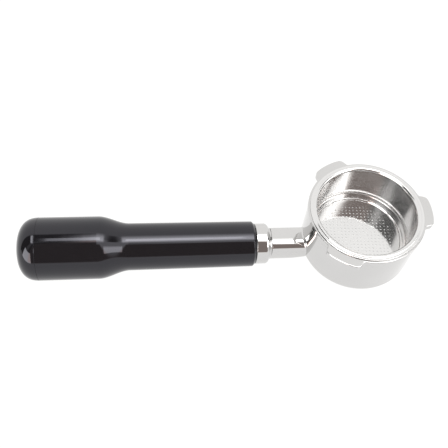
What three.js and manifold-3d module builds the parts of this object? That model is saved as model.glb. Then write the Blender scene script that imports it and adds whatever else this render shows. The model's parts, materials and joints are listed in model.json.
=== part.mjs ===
// A bottomless portafilter with three lugs: a steel holder ring with a filter basket seated in it, and a neck
// that carries a moulded handle on a threaded stud.
//
// Millimetres, +Z up. The origin is the centre of the basket floor's upper face, Z is the cup's axis and the
// handle points along -X. Pieces of the cup are turned about Z. Pieces of the handle are turned about the
// handle's own axis, and their stations are distances along it, measured outwards from the cup's axis.

import * as THREE from "three";
import { mergeVertices } from "three/addons/utils/BufferGeometryUtils.js";
import Module from "manifold-3d";

const wasm = await Module();
wasm.setup();

// Resolution
const CUP_SIDES = 48;
const HANDLE_SIDES = 32;
const ARC_STEPS = 2; // a quarter round gets twice this many straight steps

// Running and assembly gap between neighbouring pieces of the handle
const GAP = 0.3;

// Filter basket
const BASKET_DEPTH = 26.0; // from the floor to the top of the rim
const BASKET_RADIUS = 27.0; // inside of the straight wall
const BASKET_SHEET = 0.6;
const BASKET_FLOOR_RADIUS = 24.3;
const BASKET_STEP_RADIUS = 25.0; // where the ledge around the floor begins
const BASKET_STEP_HEIGHT = 0.8;
const BASKET_STEP_SHIFT = 0.26; // the step's underside lies this much further out
const BASKET_FILLET = 1.8; // from the ledge into the wall
const BASKET_LIP_ROUND = 1.4; // from the wall over into the rim's crest
const BASKET_CREST_RADIUS = 29.0; // outer edge of the crest, the highest part of the rim
const BASKET_CREST_DROP = 0.35; // from the crest down to the outer part of the rim
const BASKET_RIM_RADIUS = 30.7;
const BASKET_RIM_THICKNESS = 0.9;
const BASKET_RIM_CHAMFER = 0.15;

// Holder ring
const RING_TOP = BASKET_DEPTH - BASKET_RIM_THICKNESS - 0.05;
const RING_BOTTOM = -10.7;
const RING_RADIUS = 31.2;
const RING_BORE_RADIUS = 28.1;
const RING_BASE_ROUND = 6.4; // round between the wall and the base
const RING_BASE_THICKNESS = 2.2;
const RING_OPENING_RADIUS = 23.2;
const RING_INNER_ROUND = 3.6;
const FLANGE_RADIUS = 31.8;
const FLANGE_HEIGHT = 4.2;
const RING_CHAMFER = 0.4;

// Lugs
const LUG_COUNT = 3;
const LUG_RADIUS = 35.9;
const LUG_HALF_ANGLE = THREE.MathUtils.degToRad(16.5);
const LUG_TURN = -2.5; // degrees from +X to the middle of the front lug
const LUG_THICKNESS = 3.6;
const LUG_CORNER = 2.6;
const LUG_BEVEL = 0.35;
const LUG_ROOT_RADIUS = 30.0; // inside the ring's wall

// Retaining spring and its groove in the ring's bore
const SPRING_HEIGHT = 13.5;
const SPRING_RADIUS = 28.8;
const SPRING_WAVE = 0.2; // the wire bows in and out by this much
const SPRING_BOWS = 5;
const SPRING_WIRE_RADIUS = 0.55;
const SPRING_OPEN_ANGLE = THREE.MathUtils.degToRad(12);
const SPRING_STEPS = 50;
const SPRING_WIRE_SIDES = 6;
const GROOVE_RADIUS = 29.9;
const GROOVE_WIDTH = 2.0;

// Handle axis
const HANDLE_AXIS_HEIGHT = -6.8; // where the handle's axis crosses the cup's axis
const HANDLE_RISE = THREE.MathUtils.degToRad(2.2);

// Neck
const NECK_RADIUS = 8.8;
const NECK_ROOT_RADIUS = 10.2;
const NECK_ROOT_ROUND = NECK_ROOT_RADIUS - NECK_RADIUS;
const NECK_ROOT_END = 33.4;
const NECK_START = 22.0; // inside the ring, before the root is shaped to the wall
const NECK_COPE_RADIUS = 27.5; // the root stops here below the ring's round
const NECK_SHOULDER = 49.7;
const SPIGOT_RADIUS = 7.0;
const SPIGOT_END = 58.3;
const NECK_CHAMFER = 0.3;

// Collar on the neck's spigot
const COLLAR_START = NECK_SHOULDER + GAP;
const COLLAR_END = 58.6;
const COLLAR_RADIUS = 11.5;
const COLLAR_FRONT_RADIUS = 8.9;
const COLLAR_ROUND = 2.3;
const COLLAR_ROUND_START = 51.1;
const COLLAR_CHAMFER = 0.3;

// Threaded stud and brass insert, with plain cylinders where the threads are
const STUD_RADIUS = 5.0;
const STUD_START = 43.8;
const STUD_END = 77.5;
const STUD_CHAMFER = 0.8;
const INSERT_START = 61.4;
const INSERT_END = 76.1;
const INSERT_RADIUS = 8.0;
const INSERT_GROOVE_RADIUS = 7.2;
const INSERT_GROOVE_START = 66.6;
const INSERT_GROOVE_END = 69.6;

// Washer between the collar and the handle, in a recess of the handle's front
const WASHER_START = COLLAR_END + GAP;
const WASHER_END = 59.5;
const WASHER_RADIUS = 8.6;
const WASHER_BORE_RADIUS = 5.6;

// Handle shell
const SHELL_START = 58.95;
const SHELL_FRONT_RADIUS = 11.5;
const SHELL_CHAMFER_END = 60.3;
const SHELL_RECESS_RADIUS = WASHER_RADIUS + 0.4;
const SHELL_RECESS_END = WASHER_END + GAP;
const SLIM_START_RADIUS = 12.8;
const SLIM_END_RADIUS = 13.12;
const SLIM_END = 128.7;
const GRIP_START = 145.7;
const GRIP_RADIUS = 17.33;
const FLARE_STEPS = 8;
const SHELL_END = 177.6;
const SHELL_LIP_END = INSERT_START - GAP;
const SHELL_WEB_START = 76.4;
const SHELL_WEB_END = 79.4;
const SHELL_CORE_RADIUS = 9.6;
const SOCKET_RADIUS = 14.5;

// End cap, which closes the shell and rounds off the grip
const HANDLE_END = 188.9;
const END_ROUND_LENGTH = 12.2;
const END_ROUND_POWER = 2.7;
const END_STEPS = 8;
const CAP_START = SHELL_END + GAP;
const CAP_SPIGOT_RADIUS = SOCKET_RADIUS - GAP;
const CAP_SPIGOT_START = 170.9;
const CAP_CORE_RADIUS = 11.8;
const CAP_CORE_END = 184.6;
const CAP_CORE_ROUND = 3.0;

// Sealing ring in the cap's groove
const SEAL_STATION = 174.7;
const SEAL_RADIUS = 13.8;
const SEAL_WIRE_RADIUS = 0.5;
const SEAL_WIRE_SIDES = 8;
const SEAL_GROOVE_RADIUS = 13.0;
const SEAL_GROOVE_WIDTH = 1.8;

// Materials
const polishedSteel = new THREE.MeshStandardMaterial({ color: 0xd9dadc, roughness: 0.12, metalness: 1.0 });
const basketSteel = new THREE.MeshStandardMaterial({ color: 0xcfcdca, roughness: 0.2, metalness: 1.0 });
const springSteel = new THREE.MeshStandardMaterial({ color: 0xb4b4b2, roughness: 0.3, metalness: 1.0 });
const studSteel = new THREE.MeshStandardMaterial({ color: 0xa9aaac, roughness: 0.35, metalness: 1.0 });
const brass = new THREE.MeshStandardMaterial({ color: 0xc6a052, roughness: 0.3, metalness: 1.0 });
const blackPlastic = new THREE.MeshStandardMaterial({ color: 0x0c0b0c, roughness: 0.14, metalness: 0.0 });
const rubber = new THREE.MeshStandardMaterial({ color: 0x161616, roughness: 0.75, metalness: 0.0 });

// A closed outline of radius and height turned about the cup's axis.
function turnedAboutCup(outline) {
  return new THREE.LatheGeometry(outline.getPoints(ARC_STEPS), CUP_SIDES).rotateX(Math.PI / 2);
}

// A closed outline of radius and station turned about the handle's axis, which leads along -X.
function turnedAboutHandle(outline) {
  return new THREE.LatheGeometry(outline.getPoints(ARC_STEPS), HANDLE_SIDES).rotateZ(Math.PI / 2);
}

// A path through plain corners, each a [radius, height] pair.
function pathThrough(corners) {
  const path = new THREE.Path();
  path.moveTo(...corners[0]);
  for (const corner of corners.slice(1)) {
    path.lineTo(...corner);
  }
  return path;
}

function solidOf(geometry) {
  const bare = geometry.clone();
  bare.deleteAttribute("normal");
  bare.deleteAttribute("uv");
  const merged = mergeVertices(bare, 1e-4);
  return new wasm.Manifold(
    new wasm.Mesh({
      numProp: 3,
      vertProperties: new Float32Array(merged.attributes.position.array),
      triVerts: new Uint32Array(merged.index.array),
    }),
  );
}

function geometryOf(solid) {
  const mesh = solid.getMesh();
  const geometry = new THREE.BufferGeometry();
  geometry.setAttribute("position", new THREE.BufferAttribute(mesh.vertProperties, 3));
  geometry.setIndex(new THREE.BufferAttribute(mesh.triVerts, 1));
  geometry.computeVertexNormals();
  return geometry;
}

function piece(name, geometry, material) {
  const mesh = new THREE.Mesh(geometry, material);
  mesh.name = name;
  return mesh;
}

// One pressed sheet: a flat floor, a small step and ledge around it, a straight wall and a rim that folds
// outwards over the holder, with a raised crest along its inner edge.
function filterBasket() {
  const outerRadius = BASKET_RADIUS + BASKET_SHEET;
  const rimUnderside = BASKET_DEPTH - BASKET_RIM_THICKNESS;
  const filletTop = BASKET_STEP_HEIGHT + BASKET_FILLET;
  const outline = new THREE.Path();
  outline.moveTo(0, -BASKET_SHEET);
  outline.lineTo(BASKET_FLOOR_RADIUS + BASKET_STEP_SHIFT, -BASKET_SHEET);
  outline.lineTo(BASKET_STEP_RADIUS + BASKET_STEP_SHIFT, BASKET_STEP_HEIGHT - BASKET_SHEET);
  outline.absarc(
    BASKET_RADIUS - BASKET_FILLET,
    filletTop,
    BASKET_FILLET + BASKET_SHEET,
    -Math.PI / 2,
    0,
    false,
  );
  outline.lineTo(outerRadius, rimUnderside);
  outline.lineTo(BASKET_RIM_RADIUS, rimUnderside);
  outline.lineTo(BASKET_RIM_RADIUS, BASKET_DEPTH - BASKET_CREST_DROP - BASKET_RIM_CHAMFER);
  outline.lineTo(BASKET_RIM_RADIUS - BASKET_RIM_CHAMFER, BASKET_DEPTH - BASKET_CREST_DROP);
  outline.lineTo(BASKET_CREST_RADIUS + BASKET_CREST_DROP, BASKET_DEPTH - BASKET_CREST_DROP);
  outline.lineTo(BASKET_CREST_RADIUS, BASKET_DEPTH);
  outline.lineTo(BASKET_RADIUS + BASKET_LIP_ROUND, BASKET_DEPTH);
  outline.absarc(
    BASKET_RADIUS + BASKET_LIP_ROUND,
    BASKET_DEPTH - BASKET_LIP_ROUND,
    BASKET_LIP_ROUND,
    Math.PI / 2,
    Math.PI,
    false,
  );
  outline.lineTo(BASKET_RADIUS, filletTop);
  outline.absarc(
    BASKET_RADIUS - BASKET_FILLET,
    filletTop,
    BASKET_FILLET,
    0,
    -Math.PI / 2,
    true,
  );
  outline.lineTo(BASKET_FLOOR_RADIUS, 0);
  outline.lineTo(0, 0);
  return turnedAboutCup(outline);
}

// The ring's outside, from the base up to the top face.
function addRingOutside(outline) {
  outline.absarc(
    RING_RADIUS - RING_BASE_ROUND,
    RING_BOTTOM + RING_BASE_ROUND,
    RING_BASE_ROUND,
    -Math.PI / 2,
    0,
    false,
  );
  outline.lineTo(RING_RADIUS, RING_TOP - FLANGE_HEIGHT);
  outline.lineTo(FLANGE_RADIUS, RING_TOP - FLANGE_HEIGHT + (FLANGE_RADIUS - RING_RADIUS));
  outline.lineTo(FLANGE_RADIUS, RING_TOP - RING_CHAMFER);
  outline.lineTo(FLANGE_RADIUS - RING_CHAMFER, RING_TOP);
}

function ringSolid() {
  const outline = new THREE.Path();
  outline.moveTo(RING_OPENING_RADIUS, RING_BOTTOM);
  outline.lineTo(RING_RADIUS - RING_BASE_ROUND, RING_BOTTOM);
  addRingOutside(outline);
  outline.lineTo(RING_BORE_RADIUS + RING_CHAMFER, RING_TOP);
  outline.lineTo(RING_BORE_RADIUS, RING_TOP - RING_CHAMFER);
  outline.lineTo(RING_BORE_RADIUS, SPRING_HEIGHT + GROOVE_WIDTH / 2);
  outline.lineTo(GROOVE_RADIUS, SPRING_HEIGHT + GROOVE_WIDTH / 2);
  outline.lineTo(GROOVE_RADIUS, SPRING_HEIGHT - GROOVE_WIDTH / 2);
  outline.lineTo(RING_BORE_RADIUS, SPRING_HEIGHT - GROOVE_WIDTH / 2);
  outline.absarc(
    RING_BORE_RADIUS - RING_INNER_ROUND,
    RING_BOTTOM + RING_BASE_THICKNESS + RING_INNER_ROUND,
    RING_INNER_ROUND,
    0,
    -Math.PI / 2,
    true,
  );
  outline.lineTo(RING_OPENING_RADIUS, RING_BOTTOM + RING_BASE_THICKNESS);
  outline.closePath();
  return solidOf(turnedAboutCup(outline));
}

// A point of the lug's outline, from its radius and its angle off the lug's middle.
function polar(radius, angle) {
  return [radius * Math.cos(angle), radius * Math.sin(angle)];
}

// One lug with rounded outer corners, its middle on +X and its top level with the ring's.
function lugSolid() {
  const cornerAngle = LUG_CORNER / LUG_RADIUS;
  const shape = new THREE.Shape();
  shape.moveTo(...polar(LUG_ROOT_RADIUS, -LUG_HALF_ANGLE));
  shape.lineTo(...polar(LUG_RADIUS - LUG_CORNER, -LUG_HALF_ANGLE));
  shape.quadraticCurveTo(
    ...polar(LUG_RADIUS, -LUG_HALF_ANGLE),
    ...polar(LUG_RADIUS, cornerAngle - LUG_HALF_ANGLE),
  );
  shape.absarc(0, 0, LUG_RADIUS, cornerAngle - LUG_HALF_ANGLE, LUG_HALF_ANGLE - cornerAngle, false);
  shape.quadraticCurveTo(
    ...polar(LUG_RADIUS, LUG_HALF_ANGLE),
    ...polar(LUG_RADIUS - LUG_CORNER, LUG_HALF_ANGLE),
  );
  shape.lineTo(...polar(LUG_ROOT_RADIUS, LUG_HALF_ANGLE));
  const geometry = new THREE.ExtrudeGeometry(shape, {
    depth: LUG_THICKNESS - 2 * LUG_BEVEL,
    bevelThickness: LUG_BEVEL,
    bevelSize: LUG_BEVEL,
    bevelOffset: -LUG_BEVEL,
    bevelSegments: 1,
    curveSegments: 4,
  });
  geometry.translate(0, 0, RING_TOP - LUG_THICKNESS + LUG_BEVEL);
  return solidOf(geometry);
}

function holderRing() {
  const lug = lugSolid();
  let solid = ringSolid();
  for (let i = 0; i < LUG_COUNT; i += 1) {
    solid = solid.add(lug.rotate([0, 0, LUG_TURN + (i * 360) / LUG_COUNT]));
  }
  return geometryOf(solid);
}

// The wire's centre line: an open ring that bows gently in and out.
class SpringLine extends THREE.Curve {
  getPoint(t, target = new THREE.Vector3()) {
    const angle = SPRING_OPEN_ANGLE / 2 + t * (2 * Math.PI - SPRING_OPEN_ANGLE);
    const radius = SPRING_RADIUS + SPRING_WAVE * Math.cos(SPRING_BOWS * angle);
    return target.set(radius * Math.cos(angle), radius * Math.sin(angle), SPRING_HEIGHT);
  }
}

function roundSection(radius, sides) {
  const corners = [];
  for (let i = 0; i < sides; i += 1) {
    const angle = (i * 2 * Math.PI) / sides;
    corners.push(new THREE.Vector2(radius * Math.cos(angle), radius * Math.sin(angle)));
  }
  return new THREE.Shape(corners);
}

function basketSpring() {
  return new THREE.ExtrudeGeometry(roundSection(SPRING_WIRE_RADIUS, SPRING_WIRE_SIDES), {
    steps: SPRING_STEPS,
    extrudePath: new SpringLine(),
  });
}

// The space the ring fills, grown by the gap and carried down below the base, for shaping the neck's root.
function ringEnvelope() {
  const grown = RING_RADIUS + GAP;
  const outline = new THREE.Path();
  outline.moveTo(0, RING_BOTTOM - 2 * NECK_ROOT_RADIUS);
  outline.lineTo(NECK_COPE_RADIUS, RING_BOTTOM - 2 * NECK_ROOT_RADIUS);
  outline.lineTo(NECK_COPE_RADIUS, RING_BOTTOM);
  outline.absarc(
    RING_RADIUS - RING_BASE_ROUND,
    RING_BOTTOM + RING_BASE_ROUND,
    RING_BASE_ROUND + GAP,
    -Math.PI / 3,
    0,
    false,
  );
  outline.lineTo(grown, RING_TOP);
  outline.lineTo(0, RING_TOP);
  return solidOf(turnedAboutCup(outline));
}

// The neck's turned bar, with its root shaped to the ring's wall and a bore for the stud in its free end.
function neckArm(toCup) {
  const outline = new THREE.Path();
  outline.moveTo(0, NECK_START);
  outline.lineTo(NECK_ROOT_RADIUS, NECK_START);
  outline.absarc(
    NECK_ROOT_RADIUS,
    NECK_ROOT_END,
    NECK_ROOT_ROUND,
    (3 * Math.PI) / 2,
    Math.PI,
    true,
  );
  outline.lineTo(NECK_RADIUS, NECK_SHOULDER - NECK_CHAMFER);
  outline.lineTo(NECK_RADIUS - NECK_CHAMFER, NECK_SHOULDER);
  outline.lineTo(SPIGOT_RADIUS, NECK_SHOULDER);
  outline.lineTo(SPIGOT_RADIUS, SPIGOT_END);
  outline.lineTo(STUD_RADIUS + GAP, SPIGOT_END);
  outline.lineTo(STUD_RADIUS + GAP, STUD_START - GAP);
  outline.lineTo(0, STUD_START - GAP);
  const bar = solidOf(turnedAboutHandle(outline).applyMatrix4(toCup));
  const shaped = geometryOf(bar.subtract(ringEnvelope()));
  return shaped.applyMatrix4(toCup.clone().invert());
}

// The collar: a rounded shoulder towards the cup and a plain band towards the handle.
function neckCollar() {
  const bore = SPIGOT_RADIUS + GAP;
  const outline = new THREE.Path();
  outline.moveTo(bore, COLLAR_START);
  outline.lineTo(COLLAR_FRONT_RADIUS, COLLAR_START);
  outline.absarc(
    COLLAR_RADIUS - COLLAR_ROUND,
    COLLAR_ROUND_START + COLLAR_ROUND,
    COLLAR_ROUND,
    -Math.PI / 2,
    0,
    false,
  );
  outline.lineTo(COLLAR_RADIUS, COLLAR_END - COLLAR_CHAMFER);
  outline.lineTo(COLLAR_RADIUS - COLLAR_CHAMFER, COLLAR_END);
  outline.lineTo(bore, COLLAR_END);
  outline.closePath();
  return turnedAboutHandle(outline);
}

function handleStud() {
  return turnedAboutHandle(
    pathThrough([
      [0, STUD_START],
      [STUD_RADIUS - STUD_CHAMFER, STUD_START],
      [STUD_RADIUS, STUD_START + STUD_CHAMFER],
      [STUD_RADIUS, STUD_END - STUD_CHAMFER],
      [STUD_RADIUS - STUD_CHAMFER, STUD_END],
      [0, STUD_END],
    ]),
  );
}

function handleWasher() {
  const outline = pathThrough([
    [WASHER_BORE_RADIUS, WASHER_START],
    [WASHER_RADIUS, WASHER_START],
    [WASHER_RADIUS, WASHER_END],
    [WASHER_BORE_RADIUS, WASHER_END],
  ]);
  outline.closePath();
  return turnedAboutHandle(outline);
}

// The insert: a threaded bush with a waist that the plastic grips.
function threadInsert() {
  const outline = pathThrough([
    [STUD_RADIUS + GAP, INSERT_START],
    [INSERT_RADIUS, INSERT_START],
    [INSERT_RADIUS, INSERT_GROOVE_START],
    [INSERT_GROOVE_RADIUS, INSERT_GROOVE_START],
    [INSERT_GROOVE_RADIUS, INSERT_GROOVE_END],
    [INSERT_RADIUS, INSERT_GROOVE_END],
    [INSERT_RADIUS, INSERT_END],
    [STUD_RADIUS + GAP, INSERT_END],
  ]);
  outline.closePath();
  return turnedAboutHandle(outline);
}

// The grip's radius near the end of the handle, where it closes in a squarish round.
function endRadius(station) {
  const inwards = Math.max(0, 1 - (HANDLE_END - station) / END_ROUND_LENGTH);
  return GRIP_RADIUS * Math.pow(1 - Math.pow(inwards, END_ROUND_POWER), 1 / END_ROUND_POWER);
}

// The handle's shell: slim at the front with a recess for the washer, flaring through an S curve into the
// grip, hollow inside.
function gripShell() {
  const pocket = INSERT_RADIUS + GAP;
  const outline = pathThrough([
    [STUD_RADIUS + 2 * GAP, SHELL_RECESS_END],
    [SHELL_RECESS_RADIUS, SHELL_RECESS_END],
    [SHELL_RECESS_RADIUS, SHELL_START],
    [SHELL_FRONT_RADIUS, SHELL_START],
    [SLIM_START_RADIUS, SHELL_CHAMFER_END],
  ]);
  for (let i = 0; i <= FLARE_STEPS; i += 1) {
    const along = i / FLARE_STEPS;
    const share = along * along * (3 - 2 * along);
    const radius = THREE.MathUtils.lerp(SLIM_END_RADIUS, GRIP_RADIUS, share);
    outline.lineTo(radius, THREE.MathUtils.lerp(SLIM_END, GRIP_START, along));
  }
  outline.lineTo(GRIP_RADIUS, HANDLE_END - END_ROUND_LENGTH);
  outline.lineTo(endRadius(SHELL_END), SHELL_END);
  outline.lineTo(SOCKET_RADIUS, SHELL_END);
  outline.lineTo(SOCKET_RADIUS, GRIP_START);
  outline.lineTo(SHELL_CORE_RADIUS, SLIM_END);
  outline.lineTo(SHELL_CORE_RADIUS, SHELL_WEB_END);
  outline.lineTo(STUD_RADIUS + 3 * GAP, SHELL_WEB_END);
  outline.lineTo(STUD_RADIUS + 3 * GAP, SHELL_WEB_START);
  outline.lineTo(pocket, SHELL_WEB_START);
  outline.lineTo(pocket, SHELL_LIP_END);
  outline.lineTo(STUD_RADIUS + 2 * GAP, SHELL_LIP_END);
  outline.closePath();
  return turnedAboutHandle(outline);
}

// The cap: a hollow plug with a groove for the sealing ring, and the rounded end of the grip.
function endCap() {
  const outline = pathThrough([
    [0, CAP_CORE_END],
    [CAP_CORE_RADIUS - CAP_CORE_ROUND, CAP_CORE_END],
    [CAP_CORE_RADIUS, CAP_CORE_END - CAP_CORE_ROUND],
    [CAP_CORE_RADIUS, CAP_SPIGOT_START],
    [CAP_SPIGOT_RADIUS, CAP_SPIGOT_START],
    [CAP_SPIGOT_RADIUS, SEAL_STATION - SEAL_GROOVE_WIDTH / 2],
    [SEAL_GROOVE_RADIUS, SEAL_STATION - SEAL_GROOVE_WIDTH / 2],
    [SEAL_GROOVE_RADIUS, SEAL_STATION + SEAL_GROOVE_WIDTH / 2],
    [CAP_SPIGOT_RADIUS, SEAL_STATION + SEAL_GROOVE_WIDTH / 2],
    [CAP_SPIGOT_RADIUS, CAP_START],
  ]);
  for (let i = 0; i <= END_STEPS; i += 1) {
    // Steps shorten towards the tip, where the curve turns fastest.
    const along = Math.sin((i / END_STEPS) * (Math.PI / 2));
    const station = THREE.MathUtils.lerp(CAP_START, HANDLE_END, along);
    outline.lineTo(endRadius(station), station);
  }
  return turnedAboutHandle(outline);
}

function endCapRing() {
  const geometry = new THREE.TorusGeometry(SEAL_RADIUS, SEAL_WIRE_RADIUS, SEAL_WIRE_SIDES, HANDLE_SIDES);
  return geometry.rotateY(Math.PI / 2).translate(-SEAL_STATION, 0, 0);
}

const cup = new THREE.Group();
cup.add(piece("holder_ring", holderRing(), polishedSteel));
cup.add(piece("basket_spring", basketSpring(), springSteel));
cup.add(piece("filter_basket", filterBasket(), basketSteel));

const handle = new THREE.Group();
handle.position.z = HANDLE_AXIS_HEIGHT;
handle.rotation.y = HANDLE_RISE;
handle.updateMatrix();
handle.add(piece("neck_arm", neckArm(handle.matrix), polishedSteel));
handle.add(piece("neck_collar", neckCollar(), polishedSteel));
handle.add(piece("handle_stud", handleStud(), studSteel));
handle.add(piece("handle_washer", handleWasher(), rubber));
handle.add(piece("thread_insert", threadInsert(), brass));
handle.add(piece("grip_shell", gripShell(), blackPlastic));
handle.add(piece("end_cap", endCap(), blackPlastic));
handle.add(piece("end_cap_ring", endCapRing(), rubber));

const portafilter = new THREE.Group();
portafilter.add(cup, handle);

export default portafilter;
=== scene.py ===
"""Looks of a bottomless portafilter: polished steel ring, perforated basket, neck, collar and black handle.

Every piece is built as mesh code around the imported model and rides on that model's bodies. Outlines are in
millimetres: radius and height about the cup's axis, or radius and station about the handle's axis.
"""

import json
import math

import bmesh
import bpy
from mathutils import Matrix, Vector
from mathutils.geometry import delaunay_2d_cdt


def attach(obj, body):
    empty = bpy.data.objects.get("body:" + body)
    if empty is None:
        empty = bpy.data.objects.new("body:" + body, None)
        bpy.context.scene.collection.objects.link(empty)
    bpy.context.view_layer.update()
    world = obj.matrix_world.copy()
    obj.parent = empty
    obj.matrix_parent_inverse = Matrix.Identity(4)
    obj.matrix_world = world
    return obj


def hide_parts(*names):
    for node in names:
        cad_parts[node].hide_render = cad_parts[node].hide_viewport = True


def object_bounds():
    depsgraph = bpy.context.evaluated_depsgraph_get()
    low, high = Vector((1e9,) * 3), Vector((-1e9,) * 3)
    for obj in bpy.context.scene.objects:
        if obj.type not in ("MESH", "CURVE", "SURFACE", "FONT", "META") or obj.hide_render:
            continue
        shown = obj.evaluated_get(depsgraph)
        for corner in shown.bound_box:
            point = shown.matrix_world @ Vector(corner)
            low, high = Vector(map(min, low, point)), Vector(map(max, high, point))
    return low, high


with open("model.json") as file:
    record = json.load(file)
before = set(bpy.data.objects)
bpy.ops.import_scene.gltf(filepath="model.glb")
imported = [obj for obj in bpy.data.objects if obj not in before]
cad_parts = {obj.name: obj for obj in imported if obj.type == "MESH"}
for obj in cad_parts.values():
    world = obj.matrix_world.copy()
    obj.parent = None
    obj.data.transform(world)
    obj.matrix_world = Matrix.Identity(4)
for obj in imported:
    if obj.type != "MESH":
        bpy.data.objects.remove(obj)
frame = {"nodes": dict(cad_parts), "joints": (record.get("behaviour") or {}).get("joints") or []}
CAD_LOW, CAD_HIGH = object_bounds()

MM = 0.001
CUP_SIDES = 192
HANDLE_SIDES = 144
ARC_STEP = math.radians(12)  # the longest stretch of a rounded corner that one face covers
GAP = 0.3  # between the neck, collar, stud, insert and handle


# ---------------------------------------------------------------- places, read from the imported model

SCREW = next(j for j in frame["joints"] if j["name"] == "handle_unscrew")
HANDLE_ORIGIN = Vector(SCREW["pos_m"])
HANDLE_OUT = Vector(SCREW["axis"]).normalized()
HANDLE_SIDE = Vector((0.0, 1.0, 0.0))
HANDLE_UP = HANDLE_OUT.cross(HANDLE_SIDE).normalized()
if HANDLE_UP.z < 0:
    HANDLE_UP = -HANDLE_UP


def polar(radius, angle):
    return Vector((radius * math.cos(angle), radius * math.sin(angle)))


def cup_point(radius, height, angle):
    return Vector((radius * math.cos(angle), radius * math.sin(angle), height)) * MM


def handle_point(radius, station, angle):
    across = HANDLE_SIDE * math.cos(angle) + HANDLE_UP * math.sin(angle)
    return HANDLE_ORIGIN + (HANDLE_OUT * station + across * radius) * MM


def cup_span(node):
    """A cup node's lowest height, highest height and largest radius, in mm."""
    corners = [v.co for v in frame["nodes"][node].data.vertices]
    heights = [c.z / MM for c in corners]
    return min(heights), max(heights), max(math.hypot(c.x, c.y) for c in corners) / MM


def handle_span(node):
    """A handle node's first station, last station and largest radius, in mm."""
    corners = [v.co - HANDLE_ORIGIN for v in frame["nodes"][node].data.vertices]
    stations = [c.dot(HANDLE_OUT) / MM for c in corners]
    radii = [(c - HANDLE_OUT * c.dot(HANDLE_OUT)).length / MM for c in corners]
    return min(stations), max(stations), max(radii)


_, RIM_TOP, RIM_RADIUS = cup_span("filter_basket")
BASE, RING_TOP, LUG_RADIUS = cup_span("holder_ring")
COLLAR_START, COLLAR_END, COLLAR_RADIUS = handle_span("neck_collar")
STUD_START, STUD_END, STUD_RADIUS = handle_span("handle_stud")
WASHER_START, WASHER_END, WASHER_RADIUS = handle_span("handle_washer")
INSERT_START, INSERT_END, INSERT_RADIUS = handle_span("thread_insert")
SHELL_START, SHELL_END, GRIP_RADIUS = handle_span("grip_shell")
_, CAP_END, _ = handle_span("end_cap")


# ---------------------------------------------------------------- mesh building

def rounded(corners):
    """Points of an open outline from corners of (x, y, fillet radius), each corner rounded by an arc."""
    points = []
    for i, (x, y, fillet) in enumerate(corners):
        here = Vector((x, y))
        if fillet == 0 or i in (0, len(corners) - 1):
            points.append(here)
            continue
        back = (Vector(corners[i - 1][:2]) - here).normalized()
        ahead = (Vector(corners[i + 1][:2]) - here).normalized()
        opening = back.angle(ahead)
        turn = math.pi - opening
        reach = fillet * math.tan(turn / 2)
        centre = here + (back + ahead).normalized() * (fillet / math.sin(opening / 2))
        start = here + back * reach - centre
        steps = max(2, math.ceil(turn / ARC_STEP))
        sign = math.copysign(1.0, start.x * ahead.y - start.y * ahead.x)
        for k in range(steps + 1):
            angle = sign * turn * k / steps
            c, s = math.cos(angle), math.sin(angle)
            points.append(centre + Vector((start.x * c - start.y * s, start.x * s + start.y * c)))
    return points


def loft(mesh, rings, closed):
    """Faces between rings of points; a ring of one point is a pole.

    closed joins the last ring to the first."""
    made = [[mesh.verts.new(p) for p in ring] for ring in rings]
    pairs = list(zip(made, made[1:]))
    if closed:
        pairs.append((made[-1], made[0]))
    for a, b in pairs:
        count = max(len(a), len(b))
        for i in range(count):
            j = (i + 1) % count
            corners = [a[i % len(a)], a[j % len(a)], b[j % len(b)], b[i % len(b)]]
            unique = list(dict.fromkeys(corners))
            if len(unique) > 2:
                mesh.faces.new(unique)


def turned_rings(outline, sides, place):
    """One ring of points for each point of an outline of (radius, height)."""
    rings = []
    for radius, height in outline:
        if radius < 1e-6:
            rings.append([place(0.0, height, 0.0)])
        else:
            rings.append([place(radius, height, 2 * math.pi * i / sides) for i in range(sides)])
    return rings


def add_piece(name, mesh, material, body, nodes, slot, sharp=35.0):
    """Finishes a bmesh as a smooth-shaded object that stands for CAD nodes and rides on a body."""
    bmesh.ops.remove_doubles(mesh, verts=mesh.verts, dist=1e-7)
    bmesh.ops.recalc_face_normals(mesh, faces=mesh.faces)
    data = bpy.data.meshes.new(name)
    mesh.to_mesh(data)
    mesh.free()
    data.polygons.foreach_set("use_smooth", [True] * len(data.polygons))
    data.set_sharp_from_angle(angle=math.radians(sharp))
    piece = bpy.data.objects.new(name, data)
    bpy.context.scene.collection.objects.link(piece)
    data.materials.append(material)
    weighted = piece.modifiers.new("even_normals", "WEIGHTED_NORMAL")
    weighted.keep_sharp = True
    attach(piece, body)
    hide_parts(*nodes)


def turned_piece(name, corners, place, sides, closed, *finish):
    mesh = bmesh.new()
    loft(mesh, turned_rings(rounded(corners), sides, place), closed)
    add_piece(name, mesh, *finish)


# ---------------------------------------------------------------- materials

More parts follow.
